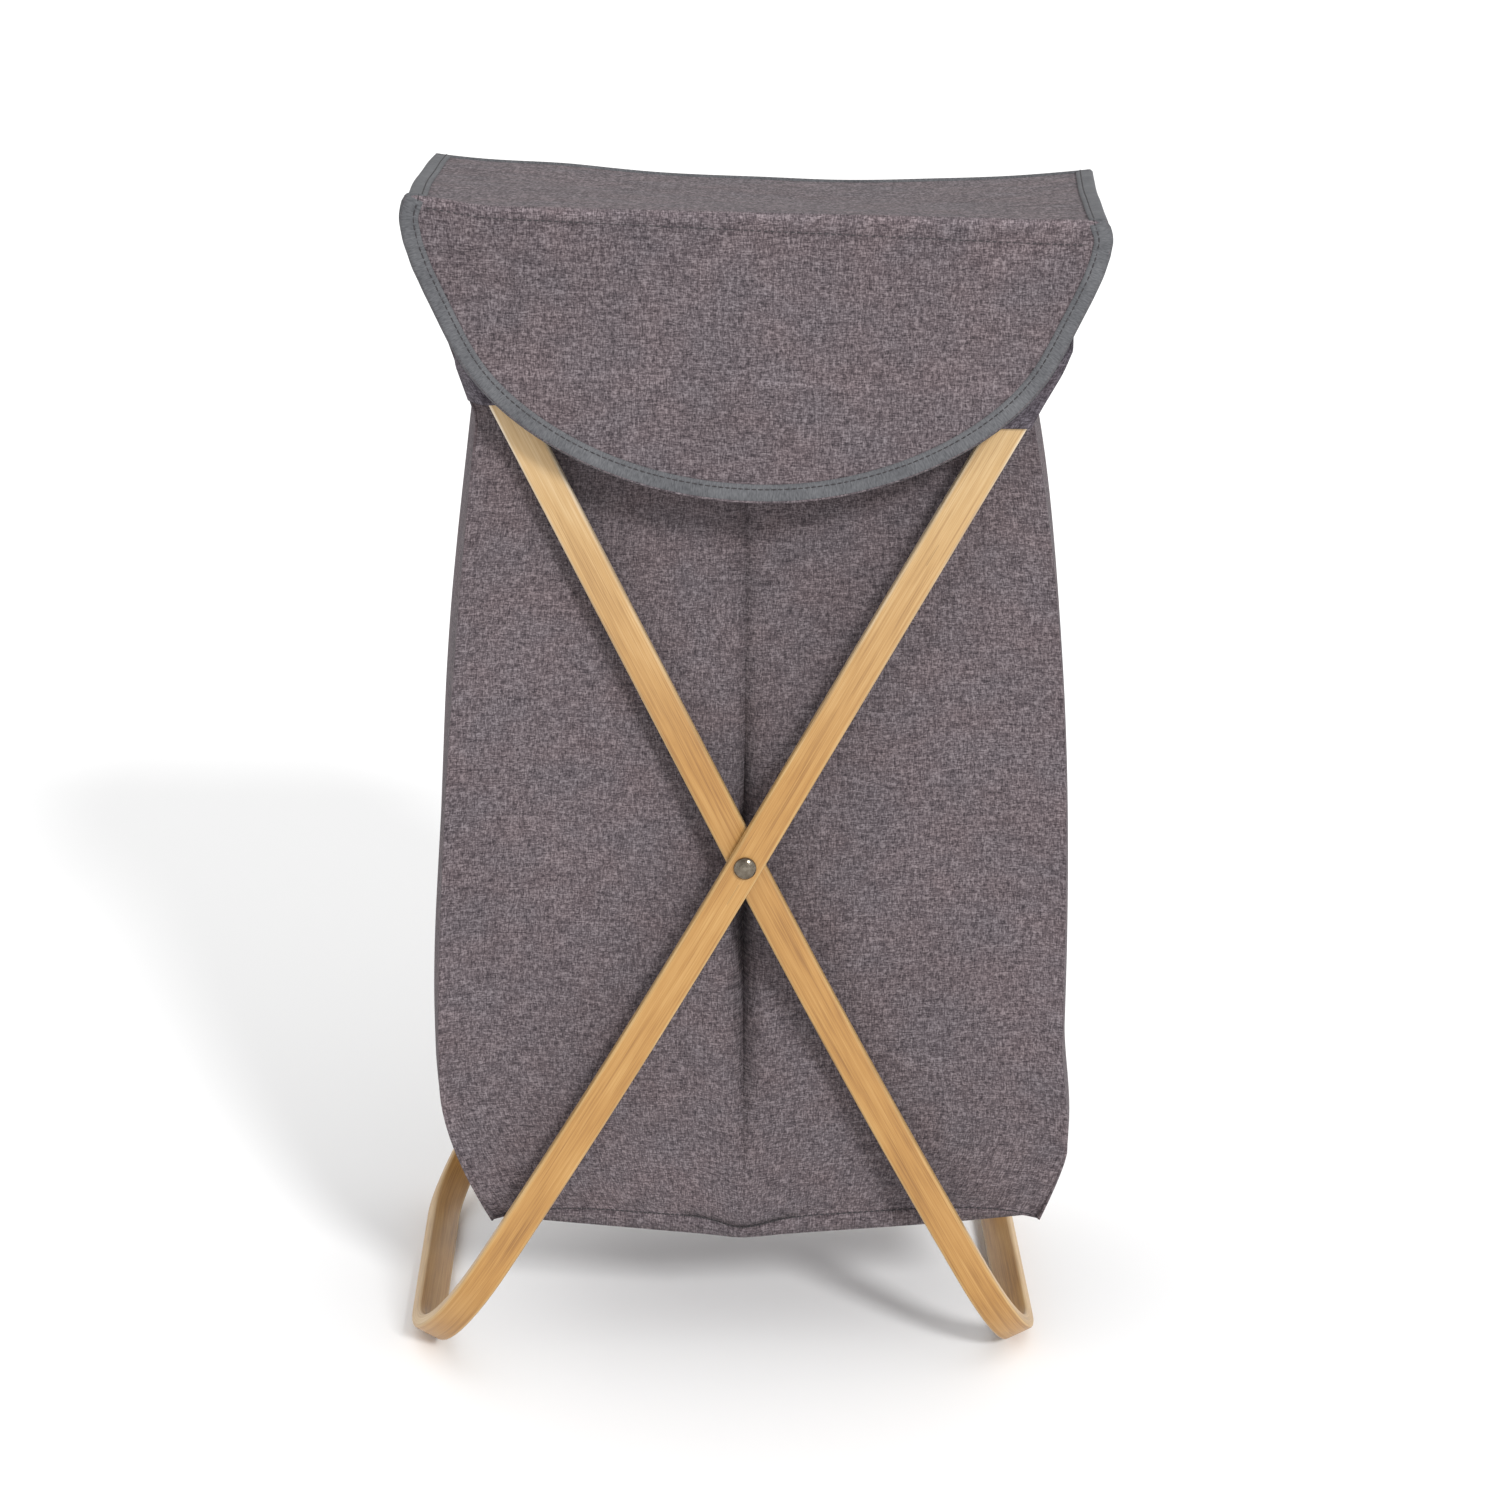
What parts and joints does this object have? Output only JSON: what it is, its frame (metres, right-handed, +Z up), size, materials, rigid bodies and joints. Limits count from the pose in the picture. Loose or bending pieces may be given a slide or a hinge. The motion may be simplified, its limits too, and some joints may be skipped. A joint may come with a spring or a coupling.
{
  "type": "folding laundry hamper with lid",
  "caption": "Laundry hamper: a fabric bag hung between two bent bamboo loops crossed as a folding X, with a fabric lid that has a hanging round front flap.",
  "frame": {"origin": "on the floor, under the middle of the hamper", "axes": "+Z up, front with the hanging flap towards -Y, +X to the right of someone facing it"},
  "size_m": [0.392, 0.3186, 0.6663],
  "materials": {
    "bamboo": "clear satin lacquer on strip bamboo",
    "nickel": "polished nickel",
    "nylon": "natural nylon",
    "bag_fabric": "slubby grey-brown linen-look weave",
    "lining": "plain matt lining",
    "binding": "folded twill tape"
  },
  "bodies": {
    "pivots": {"front_pivot_screw": "nickel", "front_pivot_washer": "nylon", "front_pivot_nut": "nickel", "rear_pivot_screw": "nickel", "rear_pivot_washer": "nylon", "rear_pivot_nut": "nickel"},
    "outer_loop": {"outer_frame_loop": "bamboo", "front_right_pocket": "bag_fabric", "rear_right_pocket": "bag_fabric"},
    "inner_loop": {"inner_frame_loop": "bamboo", "front_left_pocket": "bag_fabric", "rear_left_pocket": "bag_fabric"},
    "bag": {"bag_front_panel": "bag_fabric", "bag_rear_panel": "bag_fabric", "bag_left_panel": "bag_fabric", "bag_right_panel": "bag_fabric", "bag_bottom_panel": "bag_fabric", "front_rim_hem": "binding", "rear_rim_hem": "binding", "left_rim_hem": "binding", "right_rim_hem": "binding"},
    "lid": {"lid_top_panel": "bag_fabric", "lid_lining": "lining", "lid_binding": "binding"},
    "flap": {"lid_front_flap": "bag_fabric", "flap_lining": "lining", "flap_binding": "binding"}
  },
  "joints": [
    {"name": "frame_fold", "type": "hinge", "parent": "pivots", "child": "outer_loop", "pos_m": [0, 0, 0.309], "axis": [0, -1, 0], "range_deg": [0, 26]},
    {"name": "inner_loop_fold", "type": "hinge", "parent": "pivots", "child": "inner_loop", "pos_m": [0, 0, 0.309], "axis": [0, 1, 0], "range_deg": [0, 23.5]},
    {"name": "bag_rise", "type": "slide", "parent": "pivots", "child": "bag", "axis": [0, 0, 1], "range_m": [0, 0.0405]},
    {"name": "lid_hinge", "type": "hinge", "parent": "bag", "child": "lid", "pos_m": [0, 0.1355, 0.6633], "axis": [-1, 0, 0], "range_deg": [0, 235]},
    {"name": "flap_hinge", "type": "hinge", "parent": "lid", "child": "flap", "pos_m": [0, -0.1603, 0.6646], "axis": [-1, 0, 0], "range_deg": [0, 175]}
  ],
  "couplings": [
    {"joint": "inner_loop_fold", "follows": "frame_fold", "ratio": 0.9},
    {"joint": "bag_rise", "follows": "frame_fold", "m_per_rad": 0.085}
  ]
}
